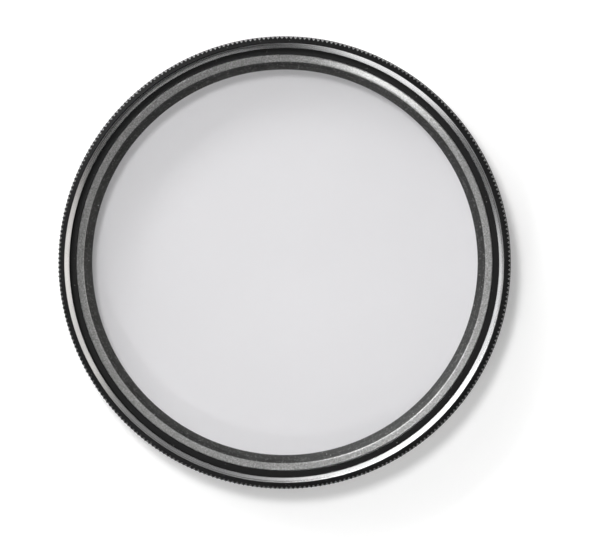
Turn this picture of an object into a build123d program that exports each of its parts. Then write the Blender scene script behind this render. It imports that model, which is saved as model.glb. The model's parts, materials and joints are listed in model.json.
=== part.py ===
from build123d import *
import math
import os

# Screw-in lens filter: a knurled ring with a male thread behind and a female thread in front,
# holding a clear glass disc that a retaining ring clamps on a lip.
# Millimetres. Origin: centre of the rear end face. +Z: optical axis, towards the front.

# Filter thread, metric fine, 60 degree flanks
thread_diameter = 52.0      # nominal major diameter, the filter size
thread_pitch = 0.75
male_allowance = 0.03       # radial, crests of the male thread below nominal
male_length = 2.4           # rear end face to the shoulder that stops on the lens
male_lead = 0.3             # chamfer where the male thread starts
relief_width = 0.45         # groove with one sloped side at the end of each thread
relief_allowance = 0.06     # radial, groove beyond the thread's root
stop_undercut = 0.08        # depth of the rear groove into the shoulder, so that the stop face is clear

# Frame, radial sizes
grip_wall = 1.0             # nominal thread radius out to the knurl crests
bevel_width = 0.64          # polished front bevel, thread crest out to the rim
bevel_angle = 36.0          # slope of that bevel
rim_flat = 0.05             # flat left on top of the rim
front_chamfer_angle = 42.0  # slope of the outer front chamfer, rim to knurl crests
rear_chamfer = 0.46         # 45 degree chamfer on the rear edge of the grip
channel_width = 0.76        # female thread crest in to the seat bore
rear_wall = 1.7             # male thread crest in to the rear recess
rear_edge = 0.2             # chamfer inside the rear end

# Frame, axial sizes
rear_recess = 0.7           # rear end face to the lip
lip_thickness = 0.8         # lip that the glass rests on
lip_edge = 0.25             # chamfer on the rear edge of the lip
front_depth = 3.0           # front rim to the channel floor

# Straight knurl
knurl_pitch = 0.544         # along the crests
knurl_depth = 0.36
collar_height = 0.9         # plain collar behind the knurl, shoulder to the run-out of the grooves

# Glass
glass_thickness = 1.8
glass_clearance = 0.05      # radial, in the seat bore
glass_edge = 0.15           # ground chamfer on both edges

# Retaining ring, from its outside in and from its face down
ring_clearance = 0.03       # radial, in the seat bore
ring_edge = 0.1             # chamfer on the outer edge of the land
land_width = 0.84           # matte face, leaning in
land_drop = 0.24
slope_width = 0.52          # steep dark slope inside the land
slope_drop = 0.64
ledge_width = 0.42          # flatter ledge next to the glass
ledge_drop = 0.22
ring_foot = 0.55            # upright inner edge that stands on the glass
ring_proud = 0.35           # land above the channel floor

# Height of a sharp 60 degree thread, and the share of it kept by each thread form
sharp_height = thread_pitch * math.sqrt(3) / 2
male_root_share = 17 / 24
female_crest_share = 5 / 8

# Radii that follow
nominal_radius = thread_diameter / 2
male_radius = nominal_radius - male_allowance
male_relief_radius = nominal_radius - male_root_share * sharp_height - relief_allowance
female_radius = nominal_radius - female_crest_share * sharp_height
female_relief_radius = nominal_radius + relief_allowance
stop_radius = nominal_radius + relief_allowance
rim_radius = female_radius + bevel_width
crest_radius = nominal_radius + grip_wall
root_radius = crest_radius - knurl_depth
blank_radius = crest_radius + knurl_depth    # before the grip is cut
seat_radius = female_radius - channel_width
recess_radius = male_radius - rear_wall
glass_radius = seat_radius - glass_clearance
ring_radius = seat_radius - ring_clearance
land_radius = ring_radius - land_width
slope_radius = land_radius - slope_width
aperture_radius = slope_radius - ledge_width

# Heights that follow
lip_height = rear_recess + lip_thickness
glass_top = lip_height + glass_thickness
ledge_height = glass_top + ring_foot
slope_height = ledge_height + ledge_drop
land_height = slope_height + slope_drop
ring_top = land_height + land_drop
channel_height = ring_top - ring_proud
rim_height = channel_height + front_depth
bevel_height = rim_height - bevel_width * math.tan(math.radians(bevel_angle))
relief_start = male_length - relief_width

# Teeth of the knurl
tooth_count = round(2 * math.pi * crest_radius / knurl_pitch)
tooth_step = 2 * math.pi / tooth_count


def turned(points):
    """Solid turned about the optical axis from a closed section of (radius, height) points."""
    section = make_face(Polyline(*[(radius, 0, height) for radius, height in points], close=True))
    return revolve(section, Axis.Z)


def polar(radius, angle, height=0):
    """Point at a radius and an angle about the optical axis."""
    return (radius * math.cos(angle), radius * math.sin(angle), height)


def knurled_bar():
    """Bar of flat facets: a straight knurl and a plain collar, over a base that spares the rear thread.

    The pointed teeth are bevelled at the front, and the grooves between them run out on the collar.
    """
    half_step = tooth_step / 2
    slope = math.tan(math.radians(front_chamfer_angle))
    front_radius = rim_radius + rim_flat
    front_top = rim_height + rim_flat * slope
    tip_front = rim_height - (crest_radius / math.cos(half_step) - front_radius) * slope
    root_front = rim_height - (root_radius - front_radius) * slope
    collar_top = male_length + collar_height
    collar_bottom = male_length + rear_chamfer
    base_top = male_length - relief_width / 2
    heel_radius = crest_radius - rear_chamfer - relief_width / 2
    facets = []
    for tooth in range(tooth_count):
        tip = tooth * tooth_step
        next_tip = tip + tooth_step
        last_root = tip - half_step
        root = tip + half_step
        tip_start = polar(crest_radius, tip, collar_top)
        next_start = polar(crest_radius, next_tip, collar_top)
        root_start = polar(root_radius, root, collar_top + knurl_depth)
        root_end = polar(root_radius, root, root_front)
        tip_end = polar(crest_radius, tip, tip_front)
        next_end = polar(crest_radius, next_tip, tip_front)
        facets.append([tip_start, tip_end, root_end, root_start])
        facets.append([next_start, next_end, root_end, root_start])
        facets.append([tip_start, next_start, root_start])
        facets.append([
            polar(rim_radius, last_root, front_top),
            polar(root_radius, last_root, root_front),
            tip_end,
            root_end,
            polar(rim_radius, root, front_top),
        ])
        levels = [
            (crest_radius, collar_top),
            (crest_radius, collar_bottom),
            (heel_radius, base_top),
            (blank_radius, base_top),
            (blank_radius, 0),
        ]
        for (upper, top), (lower, bottom) in zip(levels, levels[1:]):
            facets.append([
                polar(upper, tip, top),
                polar(upper, next_tip, top),
                polar(lower, next_tip, bottom),
                polar(lower, tip, bottom),
            ])
    facets.append([polar(rim_radius, (tooth + 0.5) * tooth_step, front_top) for tooth in range(tooth_count)])
    facets.append([polar(blank_radius, tooth * tooth_step) for tooth in range(tooth_count)])
    return Solid(Shell([Face(Wire.make_polygon(facet)) for facet in facets]))


def frame_section():
    """Section of the frame before its grip is knurled, round from the rear end face and back."""
    return [
        (recess_radius + rear_edge, 0),
        (male_radius - male_lead, 0),
        (male_radius, male_lead),
        (male_radius, relief_start),
        (male_relief_radius, male_length + stop_undercut),
        (stop_radius, male_length),
        (blank_radius, male_length),
        (blank_radius, rim_height),
        (rim_radius, rim_height),
        (female_radius, bevel_height),
        (female_radius, channel_height + relief_width),
        (female_relief_radius, channel_height),
        (seat_radius, channel_height),
        (seat_radius, lip_height),
        (aperture_radius, lip_height),
        (aperture_radius, rear_recess + lip_edge),
        (aperture_radius + lip_edge, rear_recess),
        (recess_radius, rear_recess),
        (recess_radius, rear_edge),
    ]


def make_frame():
    return turned(frame_section()) & knurled_bar()


def make_glass():
    return turned([
        (0, lip_height),
        (glass_radius - glass_edge, lip_height),
        (glass_radius, lip_height + glass_edge),
        (glass_radius, glass_top - glass_edge),
        (glass_radius - glass_edge, glass_top),
        (0, glass_top),
    ])


def make_retaining_ring():
    return turned([
        (aperture_radius, glass_top),
        (ring_radius, glass_top),
        (ring_radius, ring_top - ring_edge),
        (ring_radius - ring_edge, ring_top),
        (land_radius, land_height),
        (slope_radius, slope_height),
        (aperture_radius, ledge_height),
    ])


os.makedirs("parts", exist_ok=True)
export_step(make_frame(), "parts/frame.step")
export_step(make_glass(), "parts/glass.step")
export_step(make_retaining_ring(), "parts/retaining_ring.step")
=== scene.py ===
import json
import math

import bpy
from mathutils import Matrix, Vector


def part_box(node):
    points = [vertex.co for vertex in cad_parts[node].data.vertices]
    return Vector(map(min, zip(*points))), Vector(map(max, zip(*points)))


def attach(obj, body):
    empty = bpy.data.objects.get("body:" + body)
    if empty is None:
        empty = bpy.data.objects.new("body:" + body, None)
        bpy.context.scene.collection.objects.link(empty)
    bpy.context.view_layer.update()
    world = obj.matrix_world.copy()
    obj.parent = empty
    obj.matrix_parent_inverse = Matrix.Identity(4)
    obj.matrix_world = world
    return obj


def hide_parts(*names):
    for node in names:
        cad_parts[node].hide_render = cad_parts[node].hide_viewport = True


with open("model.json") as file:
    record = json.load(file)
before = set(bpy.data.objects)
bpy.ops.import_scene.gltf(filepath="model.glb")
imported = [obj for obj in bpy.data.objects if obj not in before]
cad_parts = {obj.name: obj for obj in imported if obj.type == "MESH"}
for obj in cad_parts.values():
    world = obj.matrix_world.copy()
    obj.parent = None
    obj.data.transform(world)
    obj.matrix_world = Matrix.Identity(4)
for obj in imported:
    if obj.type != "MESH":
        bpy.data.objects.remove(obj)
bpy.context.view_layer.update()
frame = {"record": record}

# Screw-in lens filter, front side up: a knurled frame, a clear glass disc and the ring that holds it.
# Sizes are in millimetres up to the meshes, and everything in Blender is in metres.

MM = 0.001
MOUNTS = {mount["name"]: mount for mount in frame["record"]["mounts"]}


def box_mm(node):
    """Lowest and highest corner of a CAD node, in millimetres."""
    low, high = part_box(node)
    return low / MM, high / MM


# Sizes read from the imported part
_, frame_high = box_mm("frame")
glass_low, glass_high = box_mm("glass")
ring_low, ring_high = box_mm("retaining_ring")
crest_radius = frame_high.x
rim_height = frame_high.z
glass_radius = glass_high.x
ring_radius = ring_high.x
male_radius = MOUNTS["rear_thread"]["dims"]["r_mm"]
female_radius = MOUNTS["front_thread"]["dims"]["r_mm"]
stop_height = MOUNTS["lens_stop"]["pos_m"][2] / MM

# Threads, as in the part's source
THREAD_PITCH = 0.75
MALE_LEAD = 0.3
RELIEF_WIDTH = 0.45
RELIEF_ALLOWANCE = 0.06
STOP_UNDERCUT = 0.08

# Frame, as in the part's source
BEVEL_WIDTH = 0.64
BEVEL_ANGLE = math.radians(36)
RIM_FLAT = 0.05
FRONT_SLOPE = math.tan(math.radians(42))
REAR_CHAMFER = 0.46
CHANNEL_WIDTH = 0.76
REAR_WALL = 1.7
REAR_EDGE = 0.2
REAR_RECESS = 0.7
LIP_EDGE = 0.25
FRONT_DEPTH = 3.0
KNURL_PITCH = 0.544
KNURL_DEPTH = 0.36
COLLAR_HEIGHT = 0.9

# Glass and retaining ring, as in the part's source
GLASS_EDGE = 0.15
RING_EDGE = 0.1
LAND_WIDTH = 0.84
LAND_DROP = 0.24
SLOPE_WIDTH = 0.52
SLOPE_DROP = 0.64
LEDGE_WIDTH = 0.42
LEDGE_DROP = 0.22

# Helices of the threads, which only the dressed part has
MALE_DEPTH = 0.46           # crests to roots
FEMALE_DEPTH = 0.40
THREAD_RUN_OUT = 0.3        # the front thread fades over this length below the bevel
THREAD_FLANK = 0.7          # share of the wave's height that the flanks take
THREAD_ROWS = 12            # rows of vertices in one pitch

# Rounded edges, which only the dressed part has
EDGE_FILLET = 0.03
RIM_FILLET = RIM_FLAT / 3
LAND_FILLET = 0.14          # inner edge of the land, which catches the light
SLOPE_FILLET = 0.06         # foot of the slope, where the ledge starts
FILLET_STEPS = 3
FILLET_SUPPORT = 1.4        # a ring this many fillets from the corner keeps the flat beside it flat
CORNER_POINTS = FILLET_STEPS + 3    # points that rounded() makes of one corner
HALF_CORNER = CORNER_POINTS // 2
BEVEL_CROWN = 0.014         # polishing leaves the bevel this much round
BEVEL_ROWS = 12
SHARP_ANGLE = math.radians(28)      # shading is broken at sharper edges

# Vertices of the grip
# A tooth from its tip to the next one: share of the pitch, and share of the depth
TOOTH = [(0.00, 0.02), (0.07, 0.14), (0.25, 0.50), (0.43, 0.86),
         (0.50, 0.96), (0.57, 0.86), (0.75, 0.50), (0.93, 0.14)]
TOOTH_BEVEL_ROWS = (1.0, 0.67, 0.33, 0.0)   # from the teeth to the rim
# The rest of each run-out carries the painted glint.
RUN_OUT_EDGE = 0.25         # share of a groove's run-out that is black, next to the collar
SHOULDER_STEP = 0.12        # last ring on the shoulder, inside its edge

# Photograph, 600 by 550 pixels, from almost straight above
PHOTO_WIDTH = 600
PHOTO_HEIGHT = 550
PHOTO_CENTRE = (284.13, 262.90)     # the ring's middle
PHOTO_CREST = 226.9                 # radius over the knurl
CAMERA_DISTANCE = 1.5
CAMERA_LEAN = (0.0214, 0.0193)      # how far the camera stands off the axis, in metres
SENSOR = 36.0
CLIP_START = 0.01

# Sizes that follow
teeth = round(2 * math.pi * crest_radius / KNURL_PITCH)
tooth_step = 2 * math.pi / teeth
seat_radius = female_radius - CHANNEL_WIDTH
rim_radius = female_radius + BEVEL_WIDTH
bevel_height = rim_height - BEVEL_WIDTH * math.tan(BEVEL_ANGLE)
thread_top = bevel_height - 2 * EDGE_FILLET
channel_height = rim_height - FRONT_DEPTH
collar_top = stop_height + COLLAR_HEIGHT
land_radius = ring_radius - LAND_WIDTH
slope_radius = land_radius - SLOPE_WIDTH
aperture_radius = slope_radius - LEDGE_WIDTH


# Mesh building

def tooth_angles():
    """Angles of the tips of the teeth, where every plain ring has its vertices."""
    return [tooth * tooth_step for tooth in range(teeth)]


def circle(radius, height, band):
    """Ring with one vertex for each tooth; band is the material of the strip to the next ring."""
    return [(radius, angle, height) for angle in tooth_angles()], band


def circles(section, band):
    """Rings through the points (radius, height) of a section."""
    return [circle(radius, height, band) for radius, height in section]


def rounded(corners):
    """Points of an open section whose inner corners (radius, height, fillet) are rounded."""
    points = [corners[0][:2]]
    for before, corner, after in zip(corners, corners[1:], corners[2:]):
        here = Vector(corner[:2])
        back = (Vector(before[:2]) - here).normalized() * corner[2]
        ahead = (Vector(after[:2]) - here).normalized() * corner[2]
        points.append(tuple(here + back * FILLET_SUPPORT))
        for k in range(FILLET_STEPS + 1):
            s = k / FILLET_STEPS
            points.append(tuple(here + back * (1 - s) ** 2 + ahead * s ** 2))
        points.append(tuple(here + ahead * FILLET_SUPPORT))
    points.append(corners[-1][:2])
    return points


def strip(low, high):
    """Faces between two rings of vertex numbers; the finer one has a whole number of times as many."""
    if len(low) == len(high):
        n = len(low)
        return [(low[k], low[(k + 1) % n], high[(k + 1) % n], high[k]) for k in range(n)]
    flipped = len(low) > len(high)
    coarse, fine = (high, low) if flipped else (low, high)
    share = len(fine) // len(coarse)
    turn = share // 2
    faces = []
    for k in range(len(coarse)):
        here, following = coarse[k], coarse[(k + 1) % len(coarse)]
        for j in range(share):
            a, b = fine[k * share + j], fine[(k * share + j + 1) % len(fine)]
            faces.append((here if j < turn else following, b, a))
            if j == turn - 1:
                faces.append((here, following, b))
    if flipped:
        faces = [tuple(reversed(face)) for face in faces]
    return faces


def lathe(name, rings, materials, capped=False):
    """Closed mesh through rings of (radius, angle, height); capped ends are flat discs."""
    vertices, faces, bands, numbers = [], [], [], []
    for points, _ in rings:
        numbers.append(range(len(vertices), len(vertices) + len(points)))
        for radius, angle, height in points:
            x = radius * math.cos(angle)
            y = radius * math.sin(angle)
            vertices.append((x * MM, y * MM, height * MM))
    pairs = list(zip(range(len(rings)), range(1, len(rings))))
    if capped:
        faces.append(tuple(reversed(numbers[0])))
        faces.append(tuple(numbers[-1]))
        bands += [rings[0][1], rings[-1][1]]
    else:
        pairs.append((len(rings) - 1, 0))
    for low, high in pairs:
        made = strip(numbers[low], numbers[high])
        faces += made
        bands += [rings[low][1]] * len(made)
    mesh = bpy.data.meshes.new(name)
    mesh.from_pydata(vertices, [], faces)
    for material in materials:
        mesh.materials.append(material)
    mesh.polygons.foreach_set("material_index", bands)
    mesh.polygons.foreach_set("use_smooth", [True] * len(faces))
    mesh.set_sharp_from_angle(angle=SHARP_ANGLE)
    mesh.update()
    piece = bpy.data.objects.new(name, mesh)
    bpy.context.scene.collection.objects.link(piece)
    return piece


# Frame

# Bands of the frame, in the order of FRAME_FINISHES
# SATIN and FRONT are one black finish, painted lighter on the sides and darker on the front.
SATIN, FRONT, POLISHED, INSIDE, PAINTED_GLINT, GLOSS = range(6)


def thread_wave(height, angle):
    """How deep the thread's groove is at a point: 0 on the crests, 1 at the roots."""
    wave = 0.5 - 0.5 * math.cos(2 * math.pi * (height / THREAD_PITCH) - angle)
    return min(1.0, max(0.0, (wave - 0.5) / THREAD_FLANK + 0.5))


def thread_rows(low, high):
    """Heights of the rows of vertices on a thread."""
    count = round((high - low) / THREAD_PITCH * THREAD_ROWS)
    return [low + (high - low) * k / count for k in range(count + 1)]


def male_thread():
    """Rings up the rear thread, whose grooves run out through the lead chamfer."""
    rings = []
    for height in thread_rows(0.0, stop_height - RELIEF_WIDTH):
        lead = male_radius - max(0.0, MALE_LEAD - height)
        points = []
        for angle in tooth_angles():
            groove = male_radius - MALE_DEPTH * thread_wave(height, angle)
            points.append((min(lead, groove), angle, height))
        rings.append((points, SATIN))
    return rings


def female_thread():
    """Rings down the front thread, from below the bevel to the relief groove."""
    rings = []
    for height in reversed(thread_rows(channel_height + RELIEF_WIDTH, thread_top)):
        fade = min(1.0, (thread_top - height) / THREAD_RUN_OUT)
        points = []
        for angle in tooth_angles():
            groove = FEMALE_DEPTH * fade * thread_wave(height, angle)
            points.append((female_radius + groove, angle, height))
        rings.append((points, INSIDE))
    return rings


def tooth_points():
    """Radius and angle of every point round the knurl."""
    points = []
    for tooth in range(teeth):
        for share, depth in TOOTH:
            points.append((crest_radius - KNURL_DEPTH * depth, (tooth + share) * tooth_step))
    return points


def groove_ends(share, band):
    """Ring on the run-outs of the grooves, from the collar (0) to the teeth (1)."""
    points = []
    for radius, angle in tooth_points():
        depth = (crest_radius - radius) * share
        points.append((crest_radius - depth, angle, collar_top + depth))
    return points, band


def bevelled_teeth():
    """Rings on the chamfer at the front end of the teeth, from the teeth to the rim."""
    edge_radius = rim_radius + RIM_FLAT
    rings = []
    for share in TOOTH_BEVEL_ROWS:
        points = []
        for radius, angle in tooth_points():
            reach = (radius - edge_radius) * share
            points.append((edge_radius + reach, angle, rim_height - reach * FRONT_SLOPE))
        rings.append((points, FRONT))
    return rings


def front_bevel():
    """Rings from the rim down the polished bevel, which is slightly round, to the front thread."""
    section = rounded([
        (rim_radius + RIM_FLAT / 2, rim_height, 0),
        (rim_radius, rim_height, RIM_FILLET),
        (female_radius, bevel_height, EDGE_FILLET),
        (female_radius, thread_top, 0),
    ])
    rim = section[:1 + CORNER_POINTS]
    foot = section[1 + CORNER_POINTS:-1]
    outward = Vector((-math.sin(BEVEL_ANGLE), math.cos(BEVEL_ANGLE)))
    face = []
    for k in range(1, BEVEL_ROWS):
        share = k / BEVEL_ROWS
        crown = outward * BEVEL_CROWN * 4 * share * (1 - share)
        face.append(tuple(Vector(rim[-1]).lerp(Vector(foot[0]), share) + crown))
    return circles(rim, FRONT) + circles(face + foot, POLISHED)


def make_frame(materials):
    """One closed mesh: up the outside from the rear end, over the rim and down the inside."""
    stop_radius = female_radius + FEMALE_DEPTH + RELIEF_ALLOWANCE
    male_relief = male_radius - MALE_DEPTH - RELIEF_ALLOWANCE / 2
    recess_radius = male_radius - REAR_WALL
    rear_edge = crest_radius - REAR_CHAMFER
    lip_height = glass_low.z
    seat_foot = lip_height + 3 * EDGE_FILLET
    rings = circles(rounded([
        (recess_radius, REAR_RECESS / 2, 0),
        (recess_radius, REAR_EDGE, EDGE_FILLET),
        (recess_radius + REAR_EDGE, 0, EDGE_FILLET),
        (recess_radius + 2 * REAR_EDGE, 0, 0),
    ]), SATIN)
    rings += male_thread()
    rings += circles([
        (male_relief, stop_height + STOP_UNDERCUT),
        (stop_radius, stop_height),
    ], SATIN)
    rings += circles(rounded([
        (rear_edge - SHOULDER_STEP, stop_height, 0),
        (rear_edge, stop_height, EDGE_FILLET),
        (crest_radius, stop_height + REAR_CHAMFER, EDGE_FILLET),
        (crest_radius, collar_top - EDGE_FILLET, 0),
    ]), SATIN)
    # Outer share of the groove run-outs: a grey that is a painted glint.
    rings.append(groove_ends(RUN_OUT_EDGE, PAINTED_GLINT))
    rings.append(groove_ends(1.0, SATIN))
    rings += bevelled_teeth()
    rings += front_bevel()
    rings += female_thread()
    channel = rounded([
        (female_radius, channel_height + RELIEF_WIDTH, 0),
        (stop_radius, channel_height, EDGE_FILLET),
        (seat_radius, channel_height, EDGE_FILLET),
        (seat_radius, seat_foot, 0),
    ])[1:]
    rings += circles(channel[:-1], GLOSS) + circles(channel[-1:], INSIDE)
    rings += circles(rounded([
        (seat_radius, seat_foot, 0),
        (seat_radius, lip_height, EDGE_FILLET),
        (aperture_radius, lip_height, EDGE_FILLET),
        (aperture_radius, REAR_RECESS + LIP_EDGE, EDGE_FILLET),
        (aperture_radius + LIP_EDGE, REAR_RECESS, EDGE_FILLET),
        (recess_radius, REAR_RECESS, EDGE_FILLET),
        (recess_radius, REAR_RECESS / 2 + EDGE_FILLET, 0),
    ])[1:], SATIN)
    return lathe("knurled_frame", rings, materials)


# Retaining ring and glass

# Bands of the ring, in the order of RING_FINISHES; they change half way round a fillet
LAND, SLOPE, LEDGE = range(3)


def make_ring(materials):
    """One closed mesh: from the foot up the outside, over the land and down the slope and the ledge."""
    bottom, top = ring_low.z, ring_high.z
    land_foot = top - LAND_DROP
    slope_height = land_foot - SLOPE_DROP
    slope_middle = ((land_radius + slope_radius) / 2, (land_foot + slope_height) / 2, 0)
    face = rounded([
        (ring_radius - LAND_WIDTH / 2, bottom, 0),
        (ring_radius, bottom, EDGE_FILLET),
        (ring_radius, top - RING_EDGE, EDGE_FILLET),
        (ring_radius - RING_EDGE, top, EDGE_FILLET),
        (land_radius, land_foot, LAND_FILLET),
        slope_middle,
    ])[:-1]
    inside = rounded([
        slope_middle,
        (slope_radius, slope_height, SLOPE_FILLET),
        (aperture_radius, slope_height - LEDGE_DROP, EDGE_FILLET),
        (aperture_radius, bottom, EDGE_FILLET),
        (aperture_radius + LEDGE_WIDTH, bottom, 0),
    ])[1:]
    rings = circles(face[:-HALF_CORNER], LAND)
    rings += circles(face[-HALF_CORNER:] + inside[:HALF_CORNER], SLOPE)
    rings += circles(inside[HALF_CORNER:], LEDGE)
    return lathe("glass_retainer", rings, materials)


def make_glass(material):
    """Disc with a ground chamfer on both edges."""
    rim = rounded([
        (glass_radius - 2 * GLASS_EDGE, glass_low.z, 0),
        (glass_radius - GLASS_EDGE, glass_low.z, EDGE_FILLET),
        (glass_radius, glass_low.z + GLASS_EDGE, EDGE_FILLET),
        (glass_radius, glass_high.z - GLASS_EDGE, EDGE_FILLET),
        (glass_radius - GLASS_EDGE, glass_high.z, EDGE_FILLET),
        (glass_radius - 2 * GLASS_EDGE, glass_high.z, 0),
    ])
    return lathe("glass_disc", circles(rim, 0), [material], capped=True)


# Materials. Scales are in noise cells to the metre, and the depths of bumps in millimetres

WIDE = (0.25, 0.75)         # values of a noise between which a ramp goes from one end to the other
MIDDLE = (0.3, 0.7)


class Nodes:
    """Node tree, with short calls for the nodes used here."""

    def __init__(self, tree):
        self.tree = tree

    def node(self, kind, **values):
        made = self.tree.nodes.new(kind)
        for name, value in values.items():
            setattr(made, name, value)
        return made

    def link(self, source, target):
        self.tree.links.new(source, target)

    def ramp(self, fac, span, low, high):
        """From one colour to another over a span of the factor; a number stands for a grey."""
        made = self.node("ShaderNodeValToRGB")
        for element, place, colour in zip(made.color_ramp.elements, span, (low, high)):
            grey = isinstance(colour, (int, float))
            element.position = place
            element.color = (colour, colour, colour, 1) if grey else (*colour, 1)
        self.link(fac, made.inputs["Fac"])
        return made.outputs["Color"]


class Shader(Nodes):
    """Material with one principled surface."""

    def __init__(self, name):
        self.material = bpy.data.materials.new(name)
        self.material.use_nodes = True
        super().__init__(self.material.node_tree)
        self.surface = self.tree.nodes["Principled BSDF"]
        self.output = self.tree.nodes["Material Output"]

    def set(self, **values):
        for name, value in values.items():
            self.surface.inputs[name.replace("_", " ")].default_value = value

    def place(self):
        return self.node("ShaderNodeTexCoord").outputs["Object"]

    def noise(self, place, scale, detail, roughness=0.5):
        made = self.node("ShaderNodeTexNoise")
        made.inputs["Scale"].default_value = scale
        made.inputs["Detail"].default_value = detail
        made.inputs["Roughness"].default_value = roughness
        self.link(place, made.inputs["Vector"])
        return made.outputs["Fac"]

    def fine_grain(self, place, scale):
        return self.noise(place, scale, detail=3.0, roughness=0.6)

    def blasted_grain(self, place, scale):
        return self.noise(place, scale, detail=4.0, roughness=0.65)

    def specks(self, place, scale, span):
        """Mask of small scattered spots, where a soft noise has its rare peaks."""
        return self.ramp(self.noise(place, scale, detail=1.0, roughness=0.4), span, 0.0, 1.0)

    def mottle(self, place, scale, dark, light, detail=3.0):
        """Colour that drifts between two shades."""
        return self.ramp(self.noise(place, scale, detail), MIDDLE, dark, light)

    def cover(self, mask, under, colour):
        """Colour laid over another one where the mask is white."""
        made = self.node("ShaderNodeMix", data_type="RGBA")
        self.link(mask, made.inputs["Factor"])
        self.link(under, made.inputs["A"])
        made.inputs["B"].default_value = (*colour, 1)
        return made.outputs["Result"]

    def turned_lines(self, place, scale):
        """Fine lines that run round the optical axis, from the distance to it and the height."""
        split = self.node("ShaderNodeSeparateXYZ")
        self.link(place, split.inputs["Vector"])
        flat = self.node("ShaderNodeCombineXYZ")
        self.link(split.outputs["X"], flat.inputs["X"])
        self.link(split.outputs["Y"], flat.inputs["Y"])
        length = self.node("ShaderNodeVectorMath", operation="LENGTH")
        self.link(flat.outputs["Vector"], length.inputs[0])
        line = self.node("ShaderNodeCombineXYZ")
        self.link(length.outputs["Value"], line.inputs["X"])
        self.link(split.outputs["Z"], line.inputs["Y"])
        return self.fine_grain(line.outputs["Vector"], scale)

    def base(self, colour):
        self.link(colour, self.surface.inputs["Base Color"])

    def roughness(self, fac, span, low, high):
        self.link(self.ramp(fac, span, low, high), self.surface.inputs["Roughness"])

    def bump(self, heights):
        """Chain of bump nodes from (height, strength, depth in millimetres)."""
        normal = None
        for height, strength, depth in heights:
            made = self.node("ShaderNodeBump")
            made.inputs["Strength"].default_value = strength
            made.inputs["Distance"].default_value = depth * MM
            self.link(height, made.inputs["Height"])
            if normal is not None:
                self.link(normal, made.inputs["Normal"])
            normal = made.outputs["Normal"]
        self.link(normal, self.surface.inputs["Normal"])

    def radial_tangent(self):
        made = self.node("ShaderNodeTangent", direction_type="RADIAL", axis="Z")
        self.link(made.outputs["Tangent"], self.surface.inputs["Tangent"])


def satin_black(name, dark, light, specular):
    """Black anodised aluminium with a fine turned grain and a few dust specks; its two copies differ in
    tone only as painted light and shade.
    """
    look = Shader(name)
    place = look.place()
    grain = look.fine_grain(place, 9000)
    lines = look.turned_lines(place, 9000)
    specks = look.specks(place, 3300, (0.74, 0.80))
    look.base(look.cover(specks, look.mottle(place, 160, dark, light), (0.13, 0.13, 0.125)))
    look.roughness(grain, WIDE, 0.36, 0.52)
    look.set(Specular_IOR_Level=specular)
    look.bump([(grain, 0.35, 0.006), (lines, 0.35, 0.006)])
    return look.material


def gloss_black():
    """Smooth black floor of the channel in front of the retaining ring."""
    look = Shader("gloss_black_channel")
    place = look.place()
    lines = look.turned_lines(place, 9000)
    black = look.mottle(place, 200, (0.004, 0.004, 0.004), (0.007, 0.007, 0.007))
    specks = look.specks(place, 3100, (0.745, 0.82))
    look.base(look.cover(specks, black, (0.14, 0.14, 0.132)))
    look.roughness(lines, MIDDLE, 0.09, 0.14)
    look.set(Specular_IOR_Level=1.0)
    look.bump([(lines, 0.05, 0.006)])
    return look.material


def painted_glint_groove():
    """Run-outs of the knurl's grooves in a dull grey, a painted glint where the grooves catch the
    light.
    """
    look = Shader("painted_glint_groove")
    place = look.place()
    grain = look.fine_grain(place, 8000)
    look.base(look.mottle(place, 900, (0.27, 0.27, 0.27), (0.35, 0.35, 0.35), detail=2.0))
    look.roughness(grain, WIDE, 0.34, 0.50)
    look.bump([(grain, 0.3, 0.006)])
    return look.material


def inside_black():
    """Dull black of the front thread and the seat bore, against stray light."""
    look = Shader("inside_black")
    place = look.place()
    grain = look.fine_grain(place, 7000)
    black = look.mottle(place, 200, (0.006, 0.006, 0.006), (0.010, 0.010, 0.0097))
    specks = look.specks(place, 3100, (0.75, 0.80))
    look.base(look.cover(specks, black, (0.16, 0.16, 0.15)))
    look.roughness(grain, WIDE, 0.55, 0.75)
    look.set(Specular_IOR_Level=0.12)
    look.bump([(grain, 0.4, 0.008)])
    return look.material


def polished_bevel():
    """Bright turned bevel: bare metal with fine lines round the rim."""
    look = Shader("polished_bevel")
    place = look.place()
    lines = look.turned_lines(place, 14000)
    look.base(look.mottle(place, 220, (0.50, 0.50, 0.505), (0.60, 0.60, 0.60), detail=2.0))
    look.roughness(lines, MIDDLE, 0.20, 0.34)
    look.set(Metallic=1.0, Anisotropic=0.5)
    look.radial_tangent()
    look.bump([(lines, 0.3, 0.006)])
    return look.material


def matte_land():
    """Grey matte face of the retaining ring: fine blasted grain with light and dark specks."""
    look = Shader("matte_grey_land")
    place = look.place()
    grain = look.blasted_grain(place, 5600)
    lines = look.turned_lines(place, 8000)
    grey = look.mottle(place, 260, (0.30, 0.30, 0.297), (0.345, 0.345, 0.341))
    dark_specks = look.ramp(grain, (0.35, 0.48), 1.0, 0.0)
    light_specks = look.ramp(grain, (0.52, 0.66), 0.0, 1.0)
    grey = look.cover(dark_specks, grey, (0.20, 0.20, 0.198))
    look.base(look.cover(light_specks, grey, (0.51, 0.51, 0.505)))
    look.roughness(grain, MIDDLE, 0.17, 0.25)
    look.set(Metallic=0.3, Anisotropic=0.3)
    look.radial_tangent()
    look.bump([(grain, 0.14, 0.008), (lines, 0.1, 0.006)])
    return look.material


def dark_inside(name, dark, light, grained, metallic):
    """Dark slope or ledge inside the land: satin, with a coarse grain."""
    look = Shader(name)
    place = look.place()
    grain = look.blasted_grain(place, 3300)
    grains = look.ramp(grain, (0.52, 0.74), 0.0, 1.0)
    specks = look.specks(place, 2900, (0.75, 0.79))
    shade = look.cover(grains, look.mottle(place, 240, dark, light), grained)
    look.base(look.cover(specks, shade, (0.45, 0.45, 0.44)))
    look.roughness(grain, MIDDLE, 0.42, 0.62)
    look.set(Metallic=metallic, Specular_IOR_Level=0.3)
    look.bump([(grain, 0.9, 0.03)])
    return look.material


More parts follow.
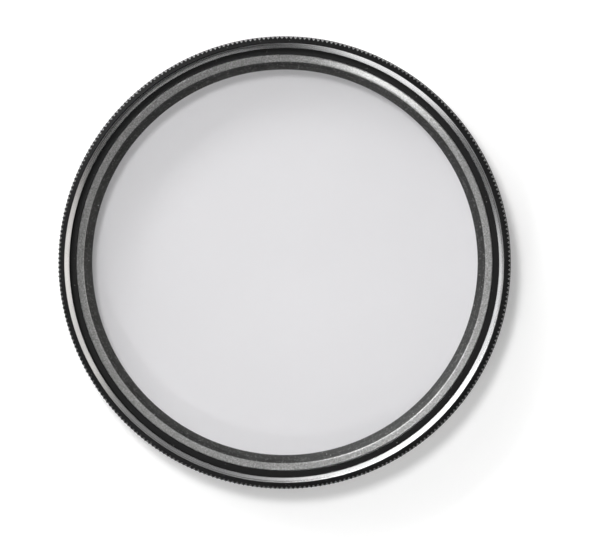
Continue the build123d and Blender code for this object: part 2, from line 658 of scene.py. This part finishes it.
GLASS_DARK = (0.771, 0.777, 0.788)
GLASS_LIGHT = (0.779, 0.785, 0.796)
GLASS_COAT = (0.62, 0.85, 0.80, 1)      # tint of what the coated faces mirror
GLASS_PASS = (0.90, 0.90, 0.905, 1)     # share of the lamps' light let through each face


def coated_glass():
    """Clear coated glass, faintly grey, that lets the lamps through to the floor."""
    look = Shader("coated_glass")
    look.set(Roughness=0.0, IOR=1.5, Transmission_Weight=1.0)
    look.set(Specular_IOR_Level=0.2, Specular_Tint=GLASS_COAT)
    look.base(look.mottle(look.place(), 90, GLASS_DARK, GLASS_LIGHT, detail=2.0))
    clear = look.node("ShaderNodeBsdfTransparent")
    clear.inputs["Color"].default_value = GLASS_PASS
    path = look.node("ShaderNodeLightPath")
    shader = look.surface.outputs["BSDF"]
    for ray in ("Is Diffuse Ray", "Is Shadow Ray"):
        both = look.node("ShaderNodeMixShader")
        look.link(path.outputs[ray], both.inputs["Fac"])
        look.link(shader, both.inputs[1])
        look.link(clear.outputs["BSDF"], both.inputs[2])
        shader = both.outputs["Shader"]
    look.link(shader, look.output.inputs["Surface"])
    return look.material


# Stage, camera and light

FLOOR_SIZE = 6.0
FLOOR_COLOUR = (0.80, 0.80, 0.80, 1)
FLOOR_GLOW = 0.32           # lifts the pale floor to white where it is seen, and adds no soft light
WORLD_GREY = 0.13
WORLD_DARK = 0.04           # the studio's dark side
WORLD_FADE = (0.45, 0.85)   # from grey to dark, in the cosine of the angle to the dark side
DARK_SIDE = Vector((0.5, -0.82, 0.28))
LAMP_AIM = Vector((0, 0, rim_height * MM / 2))
HOUR = math.radians(30)     # turn of a clock's hand in an hour, with 12 o'clock along +Y
WHITE_LAMP = (1.0, 1.0, 1.0)
WARM_LAMP = (1.0, 0.97, 0.94)
# name, clock direction, elevation in degrees, distance, width, height, watts, colour
LAMPS = [
    ("key_low", 10.4, 18, 0.65, 1.60, 0.19, 1.42, WHITE_LAMP),
    ("key_softbox", 10.7, 36, 0.65, 0.55, 0.16, 2.2, WHITE_LAMP),
    ("key_spot", 10.95, 74.8, 1.00, 0.16, 0.16, 4.95, WHITE_LAMP),
    ("key_top", 10.5, 54, 0.60, 0.30, 0.08, 0.11, WHITE_LAMP),
    ("left_strip", 7.0, 22, 0.60, 0.32, 0.26, 0.48, WHITE_LAMP),
    ("left_top", 7.0, 54, 0.60, 0.17, 0.08, 0.40, WHITE_LAMP),
    ("right_strip", 2.8, 22, 0.60, 0.56, 0.26, 0.60, WARM_LAMP),
    ("top_strip", 1.0, 18, 0.60, 0.50, 0.20, 0.06, WHITE_LAMP),
    ("far_strip", 5.05, 13, 0.60, 0.45, 0.03, 0.065, WHITE_LAMP),
    ("key_rim", 10.5, 5.5, 0.65, 0.45, 0.05, 0.66, WHITE_LAMP),
]


def make_floor():
    """Pale floor that glows a little for rays from the camera, mirrored rays and rays through glass."""
    half = FLOOR_SIZE / 2
    corners = [(-half, -half, 0), (half, -half, 0), (half, half, 0), (-half, half, 0)]
    mesh = bpy.data.meshes.new("floor")
    mesh.from_pydata(corners, [], [(0, 1, 2, 3)])
    floor = bpy.data.objects.new("floor", mesh)
    bpy.context.scene.collection.objects.link(floor)
    look = Shader("pale_floor")
    look.set(Base_Color=FLOOR_COLOUR, Roughness=1.0, Specular_IOR_Level=0.0)
    path = look.node("ShaderNodeLightPath")
    seen = path.outputs["Is Camera Ray"]
    for ray in ("Is Glossy Ray", "Is Transmission Ray"):
        either = look.node("ShaderNodeMath", operation="MAXIMUM")
        look.link(seen, either.inputs[0])
        look.link(path.outputs[ray], either.inputs[1])
        seen = either.outputs["Value"]
    glow = look.node("ShaderNodeMath", operation="MULTIPLY")
    glow.inputs[1].default_value = FLOOR_GLOW
    look.link(seen, glow.inputs[0])
    look.set(Emission_Color=(1, 1, 1, 1))
    look.link(glow.outputs["Value"], look.surface.inputs["Emission Strength"])
    mesh.materials.append(look.material)


def make_world():
    """Grey studio with one darker side."""
    world = bpy.data.worlds.new("studio")
    world.use_nodes = True
    nodes = Nodes(world.node_tree)
    place = nodes.node("ShaderNodeTexCoord")
    towards = nodes.node("ShaderNodeVectorMath", operation="DOT_PRODUCT")
    towards.inputs[1].default_value = DARK_SIDE
    nodes.link(place.outputs["Generated"], towards.inputs[0])
    shade = nodes.ramp(towards.outputs["Value"], WORLD_FADE, WORLD_GREY, WORLD_DARK)
    nodes.link(shade, nodes.tree.nodes["Background"].inputs["Color"])
    bpy.context.scene.world = world


def make_lamps():
    """Area lamps that all face the middle of the part."""
    for name, clock, elevation, distance, width, height, watts, colour in LAMPS:
        turn = clock * HOUR
        rise = math.radians(elevation)
        level = math.cos(rise)
        away = Vector((math.sin(turn) * level, math.cos(turn) * level, math.sin(rise)))
        lamp = bpy.data.lights.new(name, "AREA")
        lamp.shape = "RECTANGLE"
        lamp.size = width
        lamp.size_y = height
        lamp.energy = watts
        lamp.color = colour
        holder = bpy.data.objects.new(name, lamp)
        holder.location = LAMP_AIM + away * distance
        holder.rotation_euler = (-away).to_track_quat("-Z", "Y").to_euler()
        bpy.context.scene.collection.objects.link(holder)


def make_camera():
    """Camera almost straight above, with photo right along +X and photo up along +Y."""
    pixel = crest_radius * MM / PHOTO_CREST
    middle = Vector(((PHOTO_WIDTH / 2 - PHOTO_CENTRE[0]) * pixel,
                     (PHOTO_CENTRE[1] - PHOTO_HEIGHT / 2) * pixel, rim_height * MM))
    back = Vector((*CAMERA_LEAN, CAMERA_DISTANCE)).normalized()
    right = Vector((0, 1, 0)).cross(back).normalized()
    up = back.cross(right)
    turned = Matrix((right, up, back)).transposed().to_4x4()
    data = bpy.data.cameras.new("camera")
    data.sensor_width = SENSOR
    data.lens = SENSOR * CAMERA_DISTANCE / (PHOTO_WIDTH * pixel)
    data.clip_start = CLIP_START
    camera = bpy.data.objects.new("camera", data)
    camera.matrix_world = Matrix.Translation(middle + back * CAMERA_DISTANCE) @ turned
    bpy.context.scene.collection.objects.link(camera)
    bpy.context.scene.camera = camera


# The dressed part

FRAME_FINISHES = [
    # One black anodised finish in two tones. The rest of the frame, mostly its sides, is painted
    # lighter as painted light, since little lamp light reaches it. The front chamfer is painted darker
    # as painted shade, since the light from above falls full on it.
    satin_black("satin_black_sides_painted_lighter", (0.011, 0.011, 0.0114), (0.018, 0.018, 0.0185), specular=0.35),
    satin_black("satin_black_front_painted_darker", (0.003, 0.003, 0.0032), (0.006, 0.006, 0.0063), specular=0.12),
    polished_bevel(),
    inside_black(),
    painted_glint_groove(),
    gloss_black(),
]
RING_FINISHES = [
    matte_land(),
    dark_inside("dark_inner_slope", dark=(0.062, 0.062, 0.061), light=(0.084, 0.084, 0.083),
                grained=(0.22, 0.22, 0.215), metallic=0.88),
    dark_inside("dark_inner_ledge", dark=(0.026, 0.026, 0.0256), light=(0.036, 0.036, 0.0354),
                grained=(0.11, 0.11, 0.107), metallic=0.0),
]
PIECES = [
    (make_frame(FRAME_FINISHES), "frame", "black_anodised"),
    (make_ring(RING_FINISHES), "retaining_ring", "matte_ring"),
    (make_glass(coated_glass()), "glass", "clear_glass"),
]
for piece, node, slot in PIECES:
    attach(piece, "root")
    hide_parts(node)

make_floor()
make_world()
make_lamps()
make_camera()
bpy.context.scene.view_settings.view_transform = "Standard"
